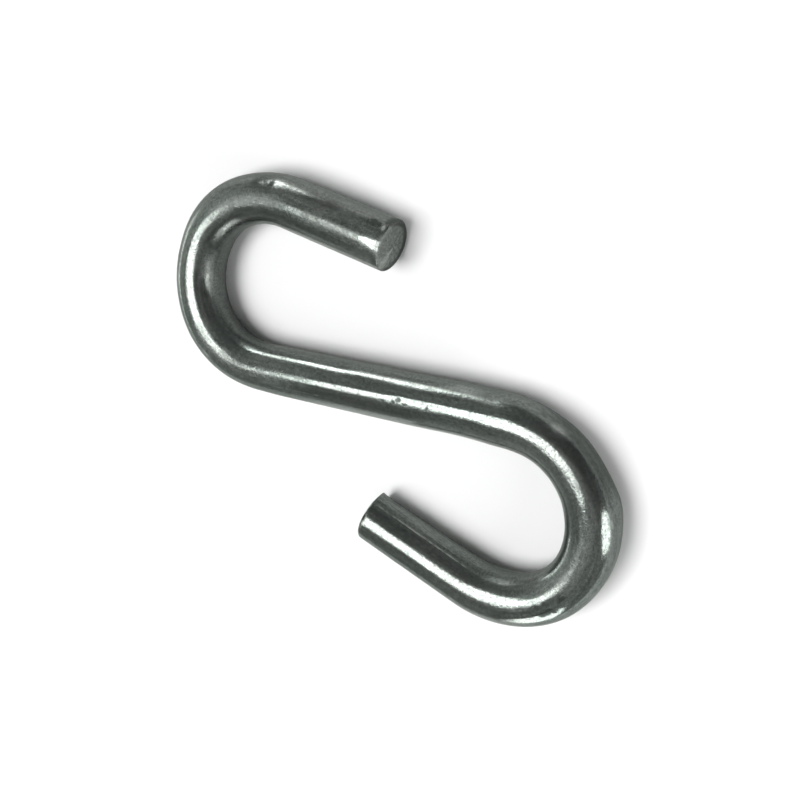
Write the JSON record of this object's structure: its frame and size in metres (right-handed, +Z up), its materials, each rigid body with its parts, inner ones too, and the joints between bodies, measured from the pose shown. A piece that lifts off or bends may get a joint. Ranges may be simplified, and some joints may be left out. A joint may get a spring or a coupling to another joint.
{
  "type": "s hook",
  "caption": "Open S hook bent from one length of round zinc-plated steel wire, with a straight shank and two straight arms cut square.",
  "frame": {"origin": "on the surface that the hook lies on, under the middle of its outline", "axes": "+X along the shank from the upper hook to the lower hook, +Y from the lower hook to the upper hook, +Z up out of the side that it lies on"},
  "size_m": [0.0762, 0.0624, 0.0078],
  "materials": {
    "zinc_plated_steel": "bright zinc plate over drawn steel wire, greyed and a little uneven with age, with fine drawing lines along the wire, shallow press flats on the outside of the bends and small scuffs"
  },
  "bodies": {
    "root": {"s_hook": "zinc_plated_steel"}
  },
  "joints": []
}
